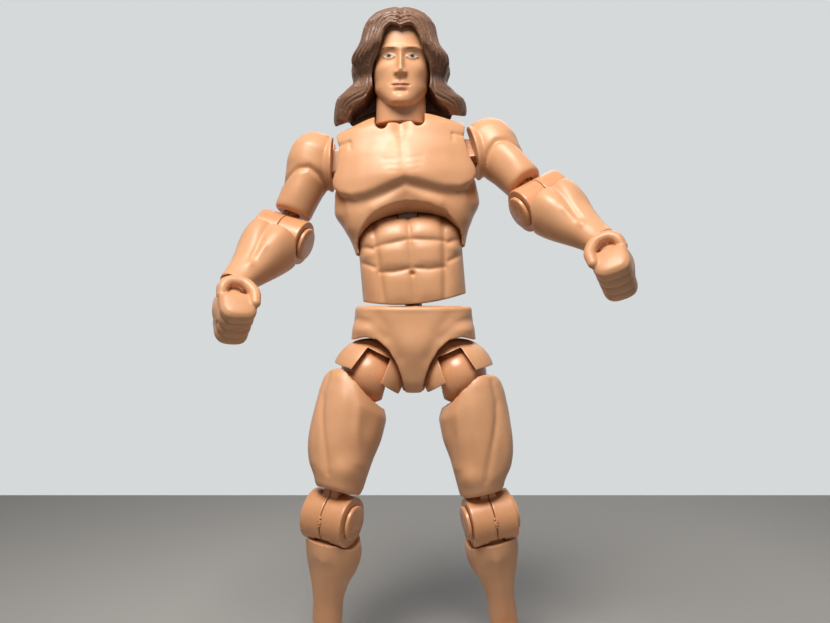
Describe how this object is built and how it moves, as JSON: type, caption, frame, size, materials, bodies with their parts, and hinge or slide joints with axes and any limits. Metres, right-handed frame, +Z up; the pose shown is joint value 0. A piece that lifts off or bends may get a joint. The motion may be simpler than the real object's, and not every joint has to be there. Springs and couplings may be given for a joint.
{
  "type": "posable action figure",
  "caption": "Muscular standing toy man with long hair, moulded in flesh-coloured plastic, with friction joints at neck, torso, waist, arms and legs.",
  "frame": {"origin": "middle of the figure's box on the floor under its soles", "axes": "+Z up; the figure faces -Y; its left hand is on the +X side"},
  "size_m": [0.103, 0.0544, 0.177],
  "materials": {
    "skin": "satin moulded, flesh-coloured",
    "joint": "smooth moulded, flesh-coloured",
    "hair": "satin moulded, brown"
  },
  "bodies": {
    "pelvis": {"pelvis": "skin", "hip_crossbar": "joint"},
    "waist": {"waist_joint": "joint"},
    "belly": {"abdomen": "skin", "torso_pin": "joint"},
    "chest": {"torso_joint": "joint", "chest_front": "skin", "chest_back": "skin"},
    "neck": {"neck_joint": "joint"},
    "head": {"head": "skin", "hair": "hair"},
    "right_shoulder": {"right_shoulder_hinge": "joint"},
    "right_upper_arm": {"right_shoulder_pin": "joint", "right_upper_arm": "skin"},
    "right_elbow": {"right_elbow_barrel_inner": "joint", "right_elbow_barrel_outer": "joint", "right_elbow_pin": "joint"},
    "right_forearm": {"right_elbow_tongue": "joint", "right_forearm": "skin"},
    "right_wrist": {"right_wrist_joint": "joint"},
    "right_hand": {"right_fist": "skin"},
    "left_shoulder": {"left_shoulder_hinge": "joint"},
    "left_upper_arm": {"left_shoulder_pin": "joint", "left_upper_arm": "skin"},
    "left_elbow": {"left_elbow_barrel_inner": "joint", "left_elbow_barrel_outer": "joint", "left_elbow_pin": "joint"},
    "left_forearm": {"left_elbow_tongue": "joint", "left_forearm": "skin"},
    "left_wrist": {"left_wrist_joint": "joint"},
    "left_hand": {"left_fist": "skin"},
    "right_foot": {"right_foot": "skin"},
    "right_ankle": {"right_ankle_joint": "joint"},
    "right_shin": {"right_shin": "skin"},
    "right_knee": {"right_knee_barrel_inner": "joint", "right_knee_barrel_outer": "joint", "right_knee_pin": "joint"},
    "right_thigh": {"right_thigh": "skin", "right_knee_upper_pin": "joint"},
    "right_hip_ball": {"right_hip_ball": "joint"},
    "right_hip_cap": {"right_hip_cap": "skin"},
    "left_foot": {"left_foot": "skin"},
    "left_ankle": {"left_ankle_joint": "joint"},
    "left_shin": {"left_shin": "skin"},
    "left_knee": {"left_knee_barrel_inner": "joint", "left_knee_barrel_outer": "joint", "left_knee_pin": "joint"},
    "left_thigh": {"left_thigh": "skin", "left_knee_upper_pin": "joint"},
    "left_hip_ball": {"left_hip_ball": "joint"},
    "left_hip_cap": {"left_hip_cap": "skin"}
  },
  "joints": [
    {"name": "waist_turn", "type": "hinge", "parent": "pelvis", "child": "waist", "pos_m": [-0.00174, 0.01266, 0.10257], "axis": [0, 0, 1], "range_deg": [-60, 60]},
    {"name": "waist_lean", "type": "hinge", "parent": "waist", "child": "belly", "pos_m": [-0.00174, 0.01266, 0.10257], "axis": [0, -1, 0], "range_deg": [-11.8, 2.2]},
    {"name": "ab_crunch", "type": "hinge", "parent": "belly", "child": "chest", "pos_m": [-0.00263, 0.01266, 0.11314], "axis": [0.9965, 0, 0.0837], "range_deg": [-8, 14]},
    {"name": "neck_nod", "type": "hinge", "parent": "chest", "child": "neck", "pos_m": [-0.00511, 0.01266, 0.14273], "axis": [0.9965, 0, 0.0837], "range_deg": [-3, 8]},
    {"name": "head_turn", "type": "hinge", "parent": "neck", "child": "head", "pos_m": [-0.00511, 0.01266, 0.15023], "axis": [0, 0, 1], "range_deg": [-15, 15]},
    {"name": "right_shoulder_swing", "type": "hinge", "parent": "chest", "child": "right_shoulder", "pos_m": [-0.02897, 0.01266, 0.13521], "axis": [-0.9965, 0, -0.0837], "range_deg": [-70.8, 109.2]},
    {"name": "right_shoulder_raise", "type": "hinge", "parent": "right_shoulder", "child": "right_upper_arm", "pos_m": [-0.02897, 0.01266, 0.13521], "axis": [0.0157, 0.9823, -0.1867], "range_deg": [-5.7, 69.3]},
    {"name": "right_elbow_turn", "type": "hinge", "parent": "right_upper_arm", "child": "right_elbow", "pos_m": [-0.03667, 0.00903, 0.11547], "axis": [-0.3581, -0.1688, -0.9183], "range_deg": [-51.3, 28.7]},
    {"name": "right_elbow_bend", "type": "hinge", "parent": "right_elbow", "child": "right_forearm", "pos_m": [-0.03667, 0.00903, 0.11547], "axis": [-0.9124, 0.2722, 0.3057], "range_deg": [-38.5, 36.5]},
    {"name": "right_wrist_turn", "type": "hinge", "parent": "right_forearm", "child": "right_wrist", "pos_m": [-0.047, -0.00945, 0.10108], "axis": [-0.4037, -0.7219, -0.5621], "range_deg": [-43, 77]},
    {"name": "right_wrist_bend", "type": "hinge", "parent": "right_wrist", "child": "right_hand", "pos_m": [-0.047, -0.00945, 0.10108], "axis": [-0.3315, 0.688, -0.6455], "range_deg": [-2, 60]},
    {"name": "left_shoulder_swing", "type": "hinge", "parent": "chest", "child": "left_shoulder", "pos_m": [0.01966, 0.01266, 0.13929], "axis": [-0.9965, 0, -0.0837], "range_deg": [-91.6, 88.4]},
    {"name": "left_shoulder_raise", "type": "hinge", "parent": "left_shoulder", "child": "left_upper_arm", "pos_m": [0.01966, 0.01266, 0.13929], "axis": [-0.0438, -0.8517, 0.5221], "range_deg": [-9.2, 65.8]},
    {"name": "left_elbow_turn", "type": "hinge", "parent": "left_upper_arm", "child": "left_elbow", "pos_m": [0.03145, 0.00283, 0.12424], "axis": [-0.5484, 0.4574, 0.7001], "range_deg": [-42.4, 37.6]},
    {"name": "left_elbow_bend", "type": "hinge", "parent": "left_elbow", "child": "left_forearm", "pos_m": [0.03145, 0.00283, 0.12424], "axis": [-0.8362, -0.2911, -0.4648], "range_deg": [-17.7, 57.3]},
    {"name": "left_wrist_turn", "type": "hinge", "parent": "left_forearm", "child": "left_wrist", "pos_m": [0.04476, -0.01487, 0.11139], "axis": [-0.5197, 0.6912, 0.5021], "range_deg": [-45.3, 74.7]},
    {"name": "left_wrist_bend", "type": "hinge", "parent": "left_wrist", "child": "left_hand", "pos_m": [0.04476, -0.01487, 0.11139], "axis": [-0.3816, -0.7136, 0.5874], "range_deg": [-12.6, 49.4]},
    {"name": "right_hip_spread", "type": "hinge", "parent": "pelvis", "child": "right_hip_cap", "pos_m": [-0.01384, 0.01266, 0.07847], "axis": [0, 1, 0], "range_deg": [-13.5, 14.5]},
    {"name": "right_hip_swing", "type": "hinge", "parent": "right_hip_cap", "child": "right_hip_ball", "pos_m": [-0.01384, 0.01266, 0.07847], "axis": [-0.9636, 0, 0.2672], "range_deg": [-39, 56]},
    {"name": "right_thigh_turn", "type": "hinge", "parent": "right_hip_ball", "child": "right_thigh", "pos_m": [-0.01825, 0.00855, 0.06258], "axis": [-0.2593, -0.2419, -0.935], "range_deg": [-37, 5]},
    {"name": "right_knee_upper_bend", "type": "hinge", "parent": "right_thigh", "child": "right_knee", "pos_m": [-0.02141, 0.0056, 0.05117], "axis": [0.9007, -0.4101, -0.1437], "range_deg": [-14, 31]},
    {"name": "right_knee_lower_bend", "type": "hinge", "parent": "right_knee", "child": "right_shin", "pos_m": [-0.02305, 0.00538, 0.04151], "axis": [0.9007, -0.4101, -0.1437], "range_deg": [-14, 66]},
    {"name": "right_ankle_bend", "type": "hinge", "parent": "right_shin", "child": "right_ankle", "pos_m": [-0.02521, 0.01196, 0.00924], "axis": [0.9007, -0.4101, -0.1437], "range_deg": [-16.12, 33.88]},
    {"name": "right_ankle_rock", "type": "hinge", "parent": "right_ankle", "child": "right_foot", "pos_m": [-0.0259, 0.01227, 0.004], "axis": [0.4144, 0.9101, 0], "range_deg": [-11.74, 28.26]},
    {"name": "left_hip_spread", "type": "hinge", "parent": "pelvis", "child": "left_hip_cap", "pos_m": [0.01036, 0.01266, 0.07847], "axis": [0, -1, 0], "range_deg": [-10.5, 17.5]},
    {"name": "left_hip_swing", "type": "hinge", "parent": "left_hip_cap", "child": "left_hip_ball", "pos_m": [0.01036, 0.01266, 0.07847], "axis": [-0.9763, 0, -0.2164], "range_deg": [-30, 65]},
    {"name": "left_thigh_turn", "type": "hinge", "parent": "left_hip_ball", "child": "left_thigh", "pos_m": [0.01402, 0.01118, 0.06194], "axis": [-0.2156, 0.0872, 0.9726], "range_deg": [-22, 20]},
    {"name": "left_knee_upper_bend", "type": "hinge", "parent": "left_thigh", "child": "left_knee", "pos_m": [0.01665, 0.01012, 0.05007], "axis": [0.9647, 0.173, 0.1984], "range_deg": [-4, 41]},
    {"name": "left_knee_lower_bend", "type": "hinge", "parent": "left_knee", "child": "left_shin", "pos_m": [0.01866, 0.00994, 0.04048], "axis": [0.9647, 0.173, 0.1984], "range_deg": [-17.79, 62.21]},
    {"name": "left_ankle_bend", "type": "hinge", "parent": "left_shin", "child": "left_ankle", "pos_m": [0.02342, 0.01928, 0.00919], "axis": [0.9647, 0.173, 0.1984], "range_deg": [-10.32, 39.68]},
    {"name": "left_ankle_rock", "type": "hinge", "parent": "left_ankle", "child": "left_foot", "pos_m": [0.02445, 0.01947, 0.004], "axis": [-0.1765, 0.9843, 0], "range_deg": [-31.44, 8.56]}
  ]
}
